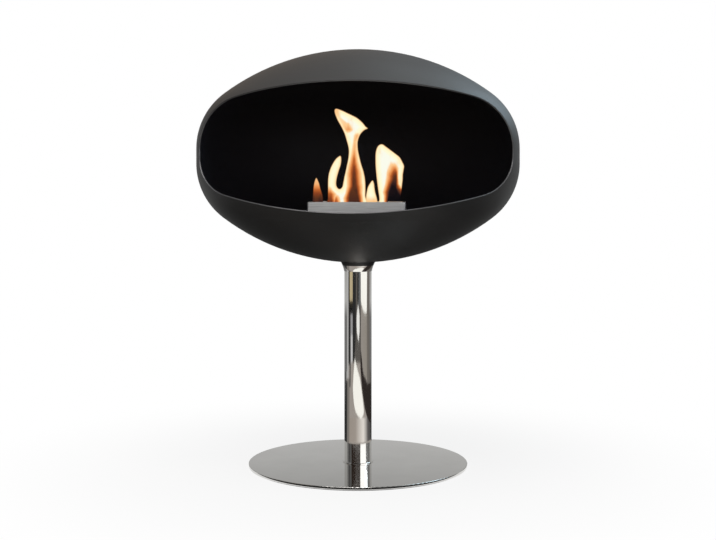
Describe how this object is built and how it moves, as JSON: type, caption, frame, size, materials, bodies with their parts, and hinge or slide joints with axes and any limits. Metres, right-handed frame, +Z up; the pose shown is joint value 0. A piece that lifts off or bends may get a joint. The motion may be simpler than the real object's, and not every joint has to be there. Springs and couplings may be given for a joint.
{
  "type": "pedestal ethanol fireplace",
  "caption": "Oval matt black steel firebox with a wide mouth and a drop-in ethanol burner, turning on a polished column and round base plate.",
  "frame": {"origin": "on the floor at the column's axis, on the underside of the base pad", "axes": "+Z up along the column, the mouth of the firebox faces -Y, +X to the right seen from the front"},
  "size_m": [0.6, 0.5644, 0.775],
  "materials": {
    "pad_rubber": "matt anti-slip rubber",
    "polished_steel": "mirror-polished stainless steel",
    "zinc_steel": "bright zinc-plated steel",
    "turned_steel": "turned steel",
    "bronze": "sintered bronze",
    "washer_plastic": "low-friction bearing plastic",
    "spring_steel": "blued spring steel",
    "shell_paint": "matt black high-temperature powder coat",
    "black_steel": "matt black heat-resistant paint",
    "burner_steel": "brushed stainless steel",
    "wool": "ceramic fibre wool"
  },
  "bodies": {
    "stand": {"base_pad": "pad_rubber", "base_plate": "polished_steel", "base_screws": "zinc_steel", "foot_plug": "turned_steel", "foot_ring": "polished_steel", "column_tube": "polished_steel", "bearing_housing": "turned_steel", "upper_bush": "bronze", "lower_bush": "bronze", "thrust_washer": "washer_plastic", "column_collar": "polished_steel"},
    "firebox": {"swivel_spindle": "turned_steel", "spindle_washer": "zinc_steel", "disc_spring": "spring_steel", "lock_nut": "zinc_steel", "shell_lower": "shell_paint", "shell_upper": "shell_paint", "mounting_disc": "black_steel", "spindle_screws": "zinc_steel", "cradle_bracket_left": "black_steel", "cradle_bracket_right": "black_steel", "burner_cradle": "black_steel", "cradle_screws": "zinc_steel", "cradle_nuts": "zinc_steel"},
    "burner": {"burner_tank": "burner_steel", "burner_frame": "burner_steel", "flame_deck": "burner_steel", "lid_guide_left": "burner_steel", "lid_guide_right": "burner_steel", "ceramic_wool": "wool", "wool_mesh": "burner_steel"},
    "lid": {"slide_lid": "burner_steel"}
  },
  "joints": [
    {"name": "firebox_swivel", "type": "hinge", "parent": "stand", "child": "firebox", "pos_m": [0, 0, 0.3735], "axis": [0, 0, 1], "continuous": true},
    {"name": "burner_lift", "type": "slide", "parent": "firebox", "child": "burner", "axis": [0, 0, 1], "range_m": [0, 0.06]},
    {"name": "lid_slide", "type": "slide", "parent": "burner", "child": "lid", "axis": [0, -1, 0], "range_m": [0, 0.052]}
  ]
}
